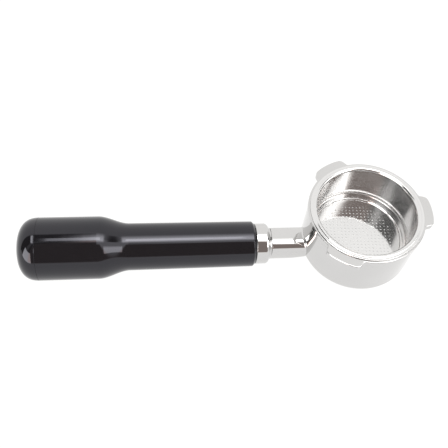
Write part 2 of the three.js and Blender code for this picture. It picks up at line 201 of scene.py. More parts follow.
class Nodes:
    """A small helper for building one node tree."""

    def __init__(self, tree):
        self.tree = tree
        tree.nodes.clear()

    def add(self, kind, inputs=None, **settings):
        node = self.tree.nodes.new(kind)
        for key, value in settings.items():
            setattr(node, key, value)
        for key, value in (inputs or {}).items():
            self.put(node.inputs[key], value)
        return node

    def put(self, socket, value):
        if isinstance(value, bpy.types.NodeSocket):
            self.tree.links.new(value, socket)
        else:
            socket.default_value = value

    def maths(self, operation, *values):
        node = self.add("ShaderNodeMath", operation=operation)
        for socket, value in zip(node.inputs, values):
            self.put(socket, value)
        return node.outputs[0]

    def ramp(self, factor, *stops):
        node = self.add("ShaderNodeValToRGB", {"Fac": factor})
        elements = node.color_ramp.elements
        for i, (place, shade) in enumerate(stops):
            element = elements[i] if i < 2 else elements.new(place)
            element.position = place
            element.color = shade if len(shade) == 4 else (*shade, 1.0)
        return node.outputs["Color"]

    def spread(self, value, low, high, to_low, to_high):
        node = self.add(
            "ShaderNodeMapRange",
            {"Value": value, "From Min": low, "From Max": high, "To Min": to_low, "To Max": to_high},
        )
        return node.outputs["Result"]

    def noise(self, vector, scale, detail=4.0, roughness=0.55):
        node = self.add(
            "ShaderNodeTexNoise",
            {"Vector": vector, "Scale": scale, "Detail": detail, "Roughness": roughness},
        )
        return node.outputs["Fac"]

    def output(self, shader, kind="ShaderNodeOutputMaterial"):
        out = self.add(kind)
        self.put(out.inputs["Surface"], shader.outputs[0])


def new_material(name):
    material = bpy.data.materials.new(name)
    material.use_nodes = True
    return material, Nodes(material.node_tree)


def stretched(n, position, scales):
    """Object coordinates stretched along the axes, for grain that runs one way."""
    node = n.add("ShaderNodeVectorMath", {0: position, 1: scales}, operation="MULTIPLY")
    return node.outputs[0]


def polar_coordinates(n, position):
    """The position's three coordinates, and its distance from the Z axis."""
    place = n.add("ShaderNodeSeparateXYZ", {0: position}).outputs
    across = n.maths("POWER", place["X"], 2.0)
    along = n.maths("POWER", place["Y"], 2.0)
    return place, n.maths("SQRT", n.maths("ADD", across, along))


def drawn_dullness(n, height):
    """Extra roughness of the basket: some on its drawn wall, none on floor and rim."""
    above_step = n.spread(height, (STEP_HEIGHT + 0.1) * MM, (STEP_HEIGHT + 0.8) * MM, 0.0, WALL_DULLNESS)
    below_rim = n.spread(height, (RIM_TOP - 1.2) * MM, (RIM_TOP - 3.0) * MM, 0.0, 1.0)
    return n.maths("MULTIPLY", above_step, below_rim)


def dished_floor(n, height, radius, normal):
    """The normal of a floor that the press has left slightly hollow."""
    square = n.maths("POWER", radius, 2.0)
    on_floor = n.spread(height, 0.1 * MM, 0.3 * MM, 1.0, 0.0)
    dish = n.maths("MULTIPLY", n.maths("MULTIPLY", square, FLOOR_DISH), on_floor)
    bump = n.add("ShaderNodeBump", {"Strength": 1.0, "Distance": 1.0, "Height": dish, "Normal": normal})
    return bump.outputs[0]


def steel(name, tint, rough, rough_spread, mark_scale, mark_depth, drawn):
    """Bright steel with fine polishing marks, faint smudges and a slightly uneven surface.

    drawn steel has marks that run up and down its wall, which is duller; other marks run round it."""
    material, n = new_material(name)
    position = n.add("ShaderNodeTexCoord").outputs["Object"]
    place, radius = polar_coordinates(n, position)
    first, second = (place["X"], place["Y"]) if drawn else (radius, place["Z"])
    marks = n.add("ShaderNodeCombineXYZ", {"X": first, "Y": second, "Z": 0.0}).outputs[0]
    grain = n.noise(stretched(n, marks, (mark_scale, mark_scale, 1.0)), 1.0, 6.0, 0.7)
    smudge = n.noise(position, 55.0, 3.0)
    waviness = n.noise(position, 38.0, 1.0)
    cloud = n.ramp(n.noise(position, 28.0, 2.0), (0.3, [c * 0.96 for c in tint]), (0.7, tint))
    roughness = n.maths(
        "ADD",
        n.spread(grain, 0.35, 0.7, rough - rough_spread, rough + rough_spread),
        n.spread(smudge, 0.5, 0.75, 0.0, 0.03),
    )
    fine = n.add("ShaderNodeBump", {"Strength": mark_depth, "Distance": 0.00002, "Height": grain})
    broad = n.add(
        "ShaderNodeBump",
        {"Strength": 0.02, "Distance": 0.0003, "Height": waviness, "Normal": fine.outputs[0]},
    )
    normal = broad.outputs[0]
    if drawn:
        roughness = n.maths("ADD", roughness, drawn_dullness(n, place["Z"]))
        normal = dished_floor(n, place["Z"], radius, normal)
    n.output(n.add(
        "ShaderNodeBsdfPrincipled",
        {"Base Color": cloud, "Metallic": 1.0, "Roughness": roughness, "Normal": normal},
    ))
    return material


def gloss_plastic(name, tint, rough):
    """Glossy moulded plastic: a faint moulding ripple, fine hairline marks and a few dull patches."""
    material, n = new_material(name)
    position = n.add("ShaderNodeTexCoord").outputs["Object"]
    ripple = n.noise(position, 90.0, 2.0)
    hairs = n.noise(stretched(n, position, (90.0, 1400.0, 1400.0)), 1.0, 3.0, 0.6)
    smudge = n.noise(position, 45.0, 4.0, 0.6)
    roughness = n.maths(
        "ADD",
        n.spread(hairs, 0.55, 0.8, rough, rough + 0.05),
        n.spread(smudge, 0.5, 0.8, 0.0, 0.05),
    )
    colour = n.ramp(smudge, (0.35, tint), (0.8, [c * 1.35 for c in tint]))
    fine = n.add("ShaderNodeBump", {"Strength": 0.03, "Distance": 0.00003, "Height": hairs})
    broad = n.add(
        "ShaderNodeBump",
        {"Strength": 0.10, "Distance": 0.0002, "Height": ripple, "Normal": fine.outputs[0]},
    )
    n.output(n.add(
        "ShaderNodeBsdfPrincipled",
        {
            "Base Color": colour,
            "Roughness": roughness,
            "IOR": 1.54,
            "Specular Tint": (0.90, 0.90, 1.0, 1.0),
            "Normal": broad.outputs[0],
        },
    ))
    return material


def matt_rubber(name, tint):
    """Dull rubber with a fine grain and lighter dusty patches."""
    material, n = new_material(name)
    position = n.add("ShaderNodeTexCoord").outputs["Object"]
    grain = n.noise(position, 1500.0, 3.0)
    dust = n.noise(position, 160.0, 4.0)
    colour = n.ramp(dust, (0.4, tint), (0.8, [c * 2.0 for c in tint]))
    bump = n.add("ShaderNodeBump", {"Strength": 0.3, "Distance": 0.00005, "Height": grain})
    n.output(n.add(
        "ShaderNodeBsdfPrincipled",
        {
            "Base Color": colour,
            "Roughness": n.spread(grain, 0.3, 0.7, 0.6, 0.8),
            "Normal": bump.outputs[0],
        },
    ))
    return material


# ---------------------------------------------------------------- filter basket

SHEET = 0.6
FLOOR_SHEET = 0.45
BASKET_RADIUS = 27.0
STEP_RADIUS = 25.0
STEP_HEIGHT = 0.8
STEP_SHIFT = 0.26  # the step's underside lies this much further out
FLOOR_RADIUS = 24.3
CREST_RADIUS = 29.0
RIM_OUTER_TOP = RIM_TOP - 0.35  # the outer part of the rim lies below its crest
RIM_UNDER = RIM_TOP - 0.88
FLOOR_DISH = 0.9  # the floor's rise over the square of its radius, per metre
WALL_DULLNESS = 0.13  # how much rougher the drawn wall is than the floor
DRAIN_ZONE = 21.3  # radius of the part of the floor that holds the holes
DRAIN_MARGIN = 1.0  # no hole's centre lies closer than this to the zone's edge
DRAIN_PITCH = 2.1
DRAIN_EDGE = 0.37  # a hole's radius at the surface
DRAIN_THROAT = 0.3  # and below its chamfer
DRAIN_CHAMFER = 0.1
DRAIN_SIDES = 12
DRAIN_TURN = math.radians(-4.5)  # of the holes' grid


def basket_outline():
    """The sheet in section: from the drain zone out over the step, up the wall, over the rim and back."""
    return rounded([
        (DRAIN_ZONE, 0.0, 0.0),
        (FLOOR_RADIUS, 0.0, 0.12),
        (STEP_RADIUS, STEP_HEIGHT, 0.3),
        (BASKET_RADIUS, STEP_HEIGHT, 1.8),
        (BASKET_RADIUS, RIM_TOP, 1.4),
        (CREST_RADIUS, RIM_TOP, 0.45),
        (CREST_RADIUS + 0.3, RIM_OUTER_TOP, 0.4),
        (RIM_RADIUS, RIM_OUTER_TOP, 0.25),
        (RIM_RADIUS, RIM_UNDER, 0.08),
        (BASKET_RADIUS + SHEET, RIM_UNDER, 0.3),
        (BASKET_RADIUS + SHEET, STEP_HEIGHT - SHEET, 2.2),
        (STEP_RADIUS + STEP_SHIFT, STEP_HEIGHT - SHEET, 0.3),
        (FLOOR_RADIUS + STEP_SHIFT, -FLOOR_SHEET, 0.3),
        (DRAIN_ZONE, -FLOOR_SHEET, 0.0),
    ])


def drain_centres():
    """The holes' centres: a square grid trimmed to the drain zone."""
    reach = DRAIN_ZONE - DRAIN_MARGIN
    count = int(reach // DRAIN_PITCH)
    steps = range(-count, count + 1)
    turn = Matrix.Rotation(DRAIN_TURN, 2)
    centres = [turn @ Vector((i * DRAIN_PITCH, j * DRAIN_PITCH)) for i in steps for j in steps]
    return [c for c in centres if c.length < reach]


def drain_plate(mesh):
    """The perforated disc: both faces triangulated around the holes, and each hole's chamfered wall."""
    centres = drain_centres()
    spokes = [2 * math.pi * k / DRAIN_SIDES for k in range(DRAIN_SIDES)]
    flat = [polar(DRAIN_ZONE, 2 * math.pi * i / CUP_SIDES) for i in range(CUP_SIDES)]
    edges = [(i, (i + 1) % CUP_SIDES) for i in range(CUP_SIDES)]
    owner = [None] * CUP_SIDES
    for number, centre in enumerate(centres):
        first = len(flat)
        flat += [centre + polar(1.0, a) * DRAIN_EDGE for a in spokes]
        owner += [number] * DRAIN_SIDES
        edges += [(first + k, first + (k + 1) % DRAIN_SIDES) for k in range(DRAIN_SIDES)]
    found = delaunay_2d_cdt(flat, edges, [], 0, 1e-6, True)
    points, triangles, sources = found[0], found[2], found[3]
    owners = [owner[s[0]] if s else None for s in sources]
    plate = [t for t in triangles if owners[t[0]] is None or len({owners[i] for i in t}) > 1]

    def layer(height, radius):
        """The plate's points at a height, with the holes at a radius."""
        made = []
        for point, number in zip(points, owners):
            if number is not None:
                point = centres[number] + (point - centres[number]).normalized() * radius
            made.append(mesh.verts.new(Vector((point.x, point.y, height)) * MM))
        return made

    top = layer(0.0, DRAIN_EDGE)
    throat = layer(-DRAIN_CHAMFER, DRAIN_THROAT)
    bottom = layer(-FLOOR_SHEET, DRAIN_THROAT)
    for triangle in plate:
        mesh.faces.new([top[i] for i in triangle])
        mesh.faces.new([bottom[i] for i in reversed(triangle)])
    for number in range(len(centres)):
        ring = [CUP_SIDES + number * DRAIN_SIDES + k for k in range(DRAIN_SIDES)]
        for k in range(DRAIN_SIDES):
            i, j = ring[k], ring[(k + 1) % DRAIN_SIDES]
            mesh.faces.new([top[j], top[i], throat[i], throat[j]])
            mesh.faces.new([throat[j], throat[i], bottom[i], bottom[j]])
    for vertex in [v for v in throat if not v.link_faces]:
        mesh.verts.remove(vertex)


def filter_basket():
    mesh = bmesh.new()
    loft(mesh, turned_rings(basket_outline(), CUP_SIDES, cup_point), False)
    drain_plate(mesh)
    add_piece("basket_shell", mesh, BASKET, "basket", ["filter_basket"], "basket_steel")


# ---------------------------------------------------------------- holder ring

RING_RADIUS = 31.2
FLANGE_RADIUS = 31.8
FLANGE_WALL_END = 5.5  # where the plain wall stops below the ring's top
FLANGE_BEVEL = 0.4
FLANGE_UNDERSIDE = ((0.0, 0.7), (0.1, 0.45), (0.6, 0.06), (0.75, 0.0))  # share of the way out, drop
SEAT_RADIUS = 30.6  # where the flat top starts at the flange's bevel
BORE_RADIUS = 28.1
BASE_THICKNESS = 2.2
BASE_ROUND = 6.4
OPENING_RADIUS = 23.2
LUG_HALF_WIDTH = math.radians(15.8)
LUG_TURN = math.radians(-2.5)
LUG_CORNER = 3.0
LUG_TIP_SHARE = 0.55  # of the half width, over which the lug's tip follows its circle
LUG_ROOT_RUN = 3.0  # how far along the flange a lug's root starts
LUG_ROOT_ROUND = 1.4
LUG_THICKNESS = 3.6
GROOVE_RADIUS = 29.9
GROOVE_HEIGHT = sum(cup_span("basket_spring")[:2]) / 2
GROOVE_HALF = 1.0


def lug_side():
    """One side of a lug in plan, from the flange out to the lug's middle, as (x, y) with the lug on +X."""
    half = LUG_RADIUS * math.sin(LUG_HALF_WIDTH)
    before = half + LUG_ROOT_RUN
    tip = half * LUG_TIP_SHARE
    return rounded([
        (math.sqrt(FLANGE_RADIUS ** 2 - before ** 2), before, 0.0),
        (math.sqrt(FLANGE_RADIUS ** 2 - half ** 2), half + 0.2, LUG_ROOT_ROUND),
        (math.sqrt(LUG_RADIUS ** 2 - half ** 2) + 0.1, half - 0.7, LUG_CORNER),
        (math.sqrt(LUG_RADIUS ** 2 - tip ** 2), tip, 0.0),
    ])


def plan_outline():
    """The flange and its lugs in plan, as one closed loop of points in order of angle."""
    side = lug_side()
    lug = [Vector((p.x, -p.y)) for p in side]
    start = math.atan2(lug[-1].y, lug[-1].x)
    lug += [polar(LUG_RADIUS, start - 2 * start * k / 12) for k in range(1, 12)]
    lug += list(reversed(side))
    loop = []
    for number in range(3):
        turn = Matrix.Rotation(LUG_TURN + number * 2 * math.pi / 3, 2)
        loop += [turn @ p for p in lug]
        here = math.atan2(lug[-1].y, lug[-1].x)
        there = 2 * math.pi / 3 - here
        plain = [polar(FLANGE_RADIUS, here + (there - here) * k / 30) for k in range(1, 30)]
        loop += [turn @ p for p in plain]
    return loop


def inset(loop, distance):
    """The loop moved inwards along its own normals."""
    moved = []
    for i, point in enumerate(loop):
        along = (loop[(i + 1) % len(loop)] - loop[i - 1]).normalized()
        moved.append(point + Vector((-along.y, along.x)) * distance)
    return moved


def holder_ring():
    """The ring's bore, base and wall are turned; the flange with its lugs follows the plan's loop."""
    loop = plan_outline()
    angles = [math.atan2(p.y, p.x) for p in loop]
    groove = (GROOVE_HEIGHT - GROOVE_HALF, GROOVE_HEIGHT + GROOVE_HALF)
    inside = rounded([
        (BORE_RADIUS + 1.0, RING_TOP, 0.0),
        (BORE_RADIUS, RING_TOP, 0.35),
        (BORE_RADIUS, groove[1], 0.1),
        (GROOVE_RADIUS, groove[1], 0.1),
        (GROOVE_RADIUS, groove[0], 0.1),
        (BORE_RADIUS, groove[0], 0.1),
        (BORE_RADIUS, BASE + BASE_THICKNESS, 3.6),
        (OPENING_RADIUS, BASE + BASE_THICKNESS, 0.5),
        (OPENING_RADIUS, BASE, 0.4),
        (RING_RADIUS, BASE, BASE_ROUND),
        (RING_RADIUS, RING_TOP - FLANGE_WALL_END, 0.0),
    ])
    rings = [[cup_point(p.x, p.y, a) for a in angles] for p in inside]

    def edge(distance, height):
        rings.append([Vector((p.x, p.y, height)) * MM for p in inset(loop, distance)])

    def between(share, height):
        """A ring between the wall, where share is 0, and the flange's edge, where it is 1."""
        radii = [RING_RADIUS + (p.length - RING_RADIUS) * share for p in loop]
        rings.append([cup_point(radius, height, angle) for radius, angle in zip(radii, angles)])

    under = RING_TOP - LUG_THICKNESS
    for share, drop in FLANGE_UNDERSIDE:
        between(share, under - drop)
    quarter = [math.pi / 2 * k / 4 for k in range(5)]
    for angle in quarter:
        edge(FLANGE_BEVEL * (1 - math.sin(angle)), under + FLANGE_BEVEL * (1 - math.cos(angle)))
    for angle in quarter:
        edge(FLANGE_BEVEL * (1 - math.cos(angle)), RING_TOP - FLANGE_BEVEL * (1 - math.sin(angle)))
    rings.append([cup_point(SEAT_RADIUS, RING_TOP, a) for a in angles])
    mesh = bmesh.new()
    loft(mesh, rings, True)
    add_piece("ring_body", mesh, POLISHED, "holder", ["holder_ring"], "polished_steel")


# ---------------------------------------------------------------- neck

NECK_HALF_WIDTH = 7.95
NECK_POWER = 3.0  # of the squarish round that is the neck's section
NECK_SHOULDER = COLLAR_START - GAP
NECK_CHAMFER = 0.3
NECK_ROOT = 29.0  # the station inside the ring's wall where the neck's end closes
SPIGOT_RADIUS = 7.0
ROOT_REACH = 1.0  # how far the root's fillet runs along the neck
ROOT_SPREAD = 0.9  # and how far it runs over the ring's wall
ROOT_SINK = 0.1  # the fillet ends this far inside the wall
ROOT_ANCHOR = 1.2  # and the neck's last edge this far
UNDER_LIFT = 0.5  # how flat the neck's underside is where it meets the ring's base
UNDER_START = 27.5
UNDER_LENGTH = 12.0
NECK_SIDES = 144


def wall_radius(height):
    """The ring's outer radius at a height, with the round at its base."""
    centre = BASE + BASE_ROUND
    if height >= centre:
        return RING_RADIUS
    depth = min(centre - height, BASE_ROUND * 0.9)
    return RING_RADIUS - BASE_ROUND + math.sqrt(BASE_ROUND ** 2 - depth ** 2)


def neck_point(station, angle, extra=0.0):
    """A point of the neck's surface; its underside rises towards the ring's base."""
    square = abs(math.cos(angle)) ** NECK_POWER + abs(math.sin(angle)) ** NECK_POWER
    radius = NECK_HALF_WIDTH / square ** (1 / NECK_POWER) + extra
    across = radius * math.cos(angle)
    upright = radius * math.sin(angle)
    if upright < 0:
        share = min(1.0, max(0.0, (station - UNDER_START) / UNDER_LENGTH))
        upright *= 1 - UNDER_LIFT * (1 - share) ** 2
    return HANDLE_ORIGIN + (HANDLE_OUT * station + HANDLE_SIDE * across + HANDLE_UP * upright) * MM


def outside_wall(point):
    return math.hypot(point.x, point.y) / MM - wall_radius(point.z / MM)


def wall_station(angle):
    """The station at which the neck's surface meets the ring's wall, found by halving."""
    low, high = 15.0, 45.0
    for _ in range(40):
        middle = (low + high) / 2
        if outside_wall(neck_point(middle, angle)) > 0:
            high = middle
        else:
            low = middle
    return high


def on_wall(point, sink):
    """The point moved straight towards the cup's axis until it lies sink mm inside the ring's wall."""
    radius = (wall_radius(point.z / MM) - sink) * MM
    scale = radius / math.hypot(point.x, point.y)
    return Vector((point.x * scale, point.y * scale, point.z))


def neck_lines():
    """For each angle, the points from the root out to the shoulder."""
    lines = []
    for i in range(NECK_SIDES):
        angle = 2 * math.pi * i / NECK_SIDES
        station = wall_station(angle)
        meet = neck_point(station, angle)
        near = neck_point(station + ROOT_REACH, angle)
        far = on_wall(neck_point(station, angle, ROOT_SPREAD), ROOT_SINK)
        line = [on_wall(far, ROOT_ANCHOR)]
        for k in range(9):
            t = k / 8
            line.append(far * (1 - t) ** 2 + meet * (2 * t * (1 - t)) + near * t ** 2)
        start = station + ROOT_REACH
        for k in range(1, 13):
            here = start + (NECK_SHOULDER - NECK_CHAMFER - start) * k / 12
            line.append(neck_point(here, angle))
        lines.append(line)
    return lines


def neck():
    """The arm from its filleted root to the shoulder, and the hollow spigot that carries the collar."""
    lines = neck_lines()
    rings = [[line[k] for line in lines] for k in range(len(lines[0]))]
    angles = [2 * math.pi * i / NECK_SIDES for i in range(NECK_SIDES)]
    for inwards, back in ((0.3, 0.3), (1.0, 0.0)):
        station = NECK_SHOULDER - back * NECK_CHAMFER
        rings.append([neck_point(station, a, -inwards * NECK_CHAMFER) for a in angles])
    shoulder = rounded([
        (SPIGOT_RADIUS + 0.5, NECK_SHOULDER, 0.0),
        (SPIGOT_RADIUS, NECK_SHOULDER, 0.1),
        (SPIGOT_RADIUS, COLLAR_END - GAP, 0.2),
        (STUD_RADIUS + GAP, COLLAR_END - GAP, 0.2),
        (STUD_RADIUS + GAP, STUD_START - GAP, 0.0),
        (0.0, STUD_START - GAP, 0.0),
    ])
    for radius, station in shoulder[1:-1]:
        rings.append([handle_point(radius, station, a) for a in angles])
    rings.append([handle_point(0.0, STUD_START - GAP, 0.0)])
    mesh = bmesh.new()
    loft(mesh, [[handle_point(0.0, NECK_ROOT, 0.0)]] + rings, False)
    add_piece("neck", mesh, POLISHED, "holder", ["neck_arm"], "polished_steel")


COLLAR_FRONT_RADIUS = 8.95
COLLAR_NECK_RADIUS = 9.15
COLLAR_NECK_END = COLLAR_START + 1.1


def collar():
    bore = SPIGOT_RADIUS + GAP
    corners = [
        (bore, COLLAR_START, 0.0),
        (COLLAR_FRONT_RADIUS, COLLAR_START, 0.1),
        (COLLAR_NECK_RADIUS, COLLAR_NECK_END, 0.6),
        (COLLAR_RADIUS, COLLAR_NECK_END + 0.05, 2.2),
        (COLLAR_RADIUS, COLLAR_END, 0.3),
        (bore, COLLAR_END, 0.0),
    ]
    turned_piece("collar", corners, handle_point, HANDLE_SIDES, True,
                 POLISHED, "holder", ["neck_collar"], "polished_steel")


# ---------------------------------------------------------------- handle

RECESS_RADIUS = WASHER_RADIUS + 0.4
RECESS_END = WASHER_END + GAP
FRONT_RADIUS = 11.5
CHAMFER_RADIUS = 12.75
CHAMFER_END = 60.3
SLIM_START = 62.0
SLIM_START_RADIUS = 12.8
SLIM_END_RADIUS = 13.12
SLIM_END = 128.7
FLARE_END = 145.7
END_ROUND_LENGTH = 12.2
END_ROUND_POWER = 2.7
CORE_RADIUS = 9.6
WEB_END = 79.4
SOCKET_RADIUS = 14.5
SEAM_GAP = 0.05
SEAM_EDGE = 0.12  # the broken edges on both sides of the cap's seam
SEAM_DEPTH = 0.09
CAP_START = SHELL_END + SEAM_GAP
CAP_CORE_RADIUS = 11.8
CAP_CORE_END = 184.6
CAP_SPIGOT_RADIUS = SOCKET_RADIUS - GAP
CAP_SPIGOT_START = 170.9
SEAL_GROOVE_RADIUS = 13.0
SEAL_GROOVE_START = 173.8
SEAL_GROOVE_END = 175.6


def end_radius(station):
    """The grip's radius near the end of the handle, where it closes in a squarish round."""
    inwards = max(0.0, 1 - (CAP_END - station) / END_ROUND_LENGTH)
    return GRIP_RADIUS * (1 - inwards ** END_ROUND_POWER) ** (1 / END_ROUND_POWER)


def shell_outside():
    """The shell's outer outline from its front edge to the seam."""
    points = []
    for k in range(12):
        share = k / 12
        radius = SLIM_START_RADIUS + (SLIM_END_RADIUS - SLIM_START_RADIUS) * share
        points.append((radius, SLIM_START + (SLIM_END - SLIM_START) * share, 0.0))
    for k in range(25):
        along = k / 24
        share = along * along * (3 - 2 * along)
        radius = SLIM_END_RADIUS + (GRIP_RADIUS - SLIM_END_RADIUS) * share
        points.append((radius, SLIM_END + (FLARE_END - SLIM_END) * along, 0.0))
    straight_end = CAP_END - END_ROUND_LENGTH
    for k in range(1, 9):
        points.append((GRIP_RADIUS, FLARE_END + (straight_end - FLARE_END) * k / 8, 0.0))
    for k in range(1, 7):
        station = straight_end + (SHELL_END - SEAM_EDGE - straight_end) * k / 6
        points.append((end_radius(station), station, 0.0))
    return points


def grip():
    """The shell in section: the washer's recess, the outside, the cap's socket and the core."""
    stud_hole = STUD_RADIUS + 2 * GAP
    web_hole = STUD_RADIUS + 3 * GAP
    pocket = INSERT_RADIUS + GAP
    corners = [
        (stud_hole, RECESS_END, 0.0),
        (RECESS_RADIUS, RECESS_END, 0.1),
        (RECESS_RADIUS, SHELL_START, 0.15),
        (FRONT_RADIUS, SHELL_START, 0.3),
        (CHAMFER_RADIUS, CHAMFER_END, 0.6),
        *shell_outside(),
        (end_radius(SHELL_END) - SEAM_DEPTH, SHELL_END, 0.0),
        (SOCKET_RADIUS, SHELL_END, 0.2),
        (SOCKET_RADIUS, FLARE_END, 3.0),
        (CORE_RADIUS, SLIM_END, 3.0),
        (CORE_RADIUS, WEB_END, 1.0),
        (web_hole, WEB_END, 0.3),
        (web_hole, INSERT_END + GAP, 0.1),
        (pocket, INSERT_END + GAP, 0.1),
        (pocket, INSERT_START - GAP, 0.1),
        (stud_hole, INSERT_START - GAP, 0.1),
        (stud_hole, RECESS_END + 0.1, 0.0),
    ]
    turned_piece("grip", corners, handle_point, HANDLE_SIDES, True,
                 PLASTIC, "handle", ["grip_shell"], "black_plastic")


def end_cap():
    """The cap in section: its hollow core, the spigot with the seal's groove, and the rounded end."""
    outside = CAP_START + SEAM_EDGE
    corners = [
        (0.0, CAP_CORE_END, 0.0),
        (CAP_CORE_RADIUS, CAP_CORE_END, 3.0),
        (CAP_CORE_RADIUS, CAP_SPIGOT_START, 0.3),
        (CAP_SPIGOT_RADIUS, CAP_SPIGOT_START, 0.4),
        (CAP_SPIGOT_RADIUS, SEAL_GROOVE_START, 0.1),
        (SEAL_GROOVE_RADIUS, SEAL_GROOVE_START, 0.1),
        (SEAL_GROOVE_RADIUS, SEAL_GROOVE_END, 0.1),
        (CAP_SPIGOT_RADIUS, SEAL_GROOVE_END, 0.1),
        (CAP_SPIGOT_RADIUS, CAP_START, 0.1),
        (end_radius(CAP_START) - SEAM_DEPTH, CAP_START, 0.0),
    ]
    for k in range(33):
        along = math.sin(math.pi / 2 * k / 32)
        station = outside + (CAP_END - outside) * along
        corners.append((end_radius(station), station, 0.0))
    turned_piece("cap", corners, handle_point, HANDLE_SIDES, False,
                 PLASTIC, "handle", ["end_cap"], "black_plastic")


def washer():
    bore = STUD_RADIUS + 2 * GAP
    corners = [
        (bore, WASHER_START, 0.0),
        (WASHER_RADIUS, WASHER_START, 0.15),
        (WASHER_RADIUS, WASHER_END, 0.15),
        (bore, WASHER_END, 0.0),
    ]
    turned_piece("washer", corners, handle_point, HANDLE_SIDES, True,
                 RUBBER, "washer", ["handle_washer"], "rubber")


def seal_ring():
    start, end, radius = handle_span("end_cap_ring")
    wire = (end - start) / 2
    station, middle = (start + end) / 2, radius - wire
    outline = [(middle + wire * math.cos(a), station + wire * math.sin(a))
               for a in (2 * math.pi * k / 20 for k in range(20))]
    mesh = bmesh.new()
    loft(mesh, turned_rings(outline, HANDLE_SIDES, handle_point), True)
    add_piece("cap_seal", mesh, RUBBER, "handle", ["end_cap_ring"], "rubber")


# ---------------------------------------------------------------- stud, insert and spring

THREAD_PITCH = 1.5
THREAD_DEPTH = 0.8
THREAD_STEPS = 8  # rings of points in one pitch
THREAD_SIDES = 72
THREAD_SLOPE = 2.6  # how steeply the flanks fall
THREAD_CREST = 0.15  # how far the crest is cut flat
STUD_CHAMFER = 0.9
WAIST_RADIUS = 7.2
WAIST_START = 66.6
WAIST_END = 69.6
KNURLS = 36
KNURL_DEPTH = 0.25
SPRING_RADIUS = 28.8
SPRING_BOW = 0.2  # the wire bows in and out by this much
SPRING_BOWS = 5
SPRING_OPENING = math.radians(12)
SPRING_STEPS = 240
SPRING_SIDES = 16


def threaded_rings(radius, depth, start, end):
    """Rings of points whose radius follows a helix, fading out over one pitch at each end."""
    count = int(round((end - start) / THREAD_PITCH * THREAD_STEPS))
    rings = []
    for k in range(count + 1):
        station = start + (end - start) * k / count
        fade = min(1.0, (station - start) / THREAD_PITCH, (end - station) / THREAD_PITCH)
        ring = []
        for i in range(THREAD_SIDES):
            turn = i / THREAD_SIDES
            phase = (station / THREAD_PITCH + turn) % 1.0
            groove = min(1.0, max(0.0, abs(phase - 0.5) * THREAD_SLOPE - THREAD_CREST))
            ring.append(handle_point(radius - depth * fade * groove, station, 2 * math.pi * turn))
        rings.append(ring)
    return rings


def stud():
    start, end = STUD_START + STUD_CHAMFER, STUD_END - STUD_CHAMFER
    rings = turned_rings([(0.0, STUD_START), (STUD_RADIUS - STUD_CHAMFER, STUD_START)],
                         THREAD_SIDES, handle_point)
    rings += threaded_rings(STUD_RADIUS, THREAD_DEPTH, start, end)
    rings += turned_rings([(STUD_RADIUS - STUD_CHAMFER, STUD_END), (0.0, STUD_END)],
                          THREAD_SIDES, handle_point)
    mesh = bmesh.new()
    loft(mesh, rings, False)
    add_piece("stud", mesh, STUD, "holder", ["handle_stud"], "stud_steel")


def insert():
    """The brass bush: a waist that anchors it, and knurls along the rest."""
    bore = STUD_RADIUS + GAP
    outline = rounded([
        (bore, INSERT_START, 0.0),
        (INSERT_RADIUS, INSERT_START, 0.3),
        (INSERT_RADIUS, WAIST_START, 0.2),
        (WAIST_RADIUS, WAIST_START, 0.2),
        (WAIST_RADIUS, WAIST_END, 0.2),
        (INSERT_RADIUS, WAIST_END, 0.2),
        (INSERT_RADIUS, INSERT_END, 0.3),
        (bore, INSERT_END, 0.0),
    ])
    sides = KNURLS * 4
    rings = []
    for radius, station in outline:
        knurled = radius > WAIST_RADIUS + 0.2
        ring = []
        for i in range(sides):
            notch = KNURL_DEPTH if knurled and i % 4 == 0 else 0.0
            ring.append(handle_point(radius - notch, station, 2 * math.pi * i / sides))
        rings.append(ring)
    mesh = bmesh.new()
    loft(mesh, rings, True)
    add_piece("insert", mesh, BRASS, "handle", ["thread_insert"], "brass")


def spring():
    """The open retaining ring: round wire that bows gently in and out, with flat ends."""
    low, high, _ = cup_span("basket_spring")
    wire = (high - low) / 2
    section = [2 * math.pi * i / SPRING_SIDES for i in range(SPRING_SIDES)]
    rings = []
    for k in range(SPRING_STEPS + 1):
        angle = SPRING_OPENING / 2 + (2 * math.pi - SPRING_OPENING) * k / SPRING_STEPS
        middle = SPRING_RADIUS + SPRING_BOW * math.cos(SPRING_BOWS * angle)
        rings.append([cup_point(middle + wire * math.cos(a), GROOVE_HEIGHT + wire * math.sin(a), angle)
                      for a in section])
    ends = [[sum(ring, Vector()) / SPRING_SIDES] for ring in (rings[0], rings[-1])]
    mesh = bmesh.new()
    loft(mesh, [ends[0]] + rings + [ends[1]], False)
    add_piece("spring", mesh, SPRING, "spring", ["basket_spring"], "spring_steel", 60.0)


# ---------------------------------------------------------------- stage, light and camera

FLOOR_SIZE = 6.0
FLOOR_GLOW = 1.05
FLOOR_CLEARANCE = 0.8  # below the collar, so that the neck's root stays clear too
LOOK_RIGHT = Vector((0.996, -0.079, 0.048))
LOOK_UP = Vector((0.042, 0.8455, 0.532))
CAMERA_FROM_RIM = Vector((-0.104, -0.173, 0.269))
CAMERA_LENS = 49.1

TENT = 1.12  # strengths of the world's light
TENT_RIGHT = 0.6
GLOOM = 0.12
GLOOM_FRONT = 0.16
GLOOM_LEFT = 0.4
LAMP = 5.2
WINDOWS = 5.0
TENT_TINT = (1.0, 0.995, 0.985, 1.0)
FRONT_TINT = (1.0, 0.84, 0.78, 1.0)


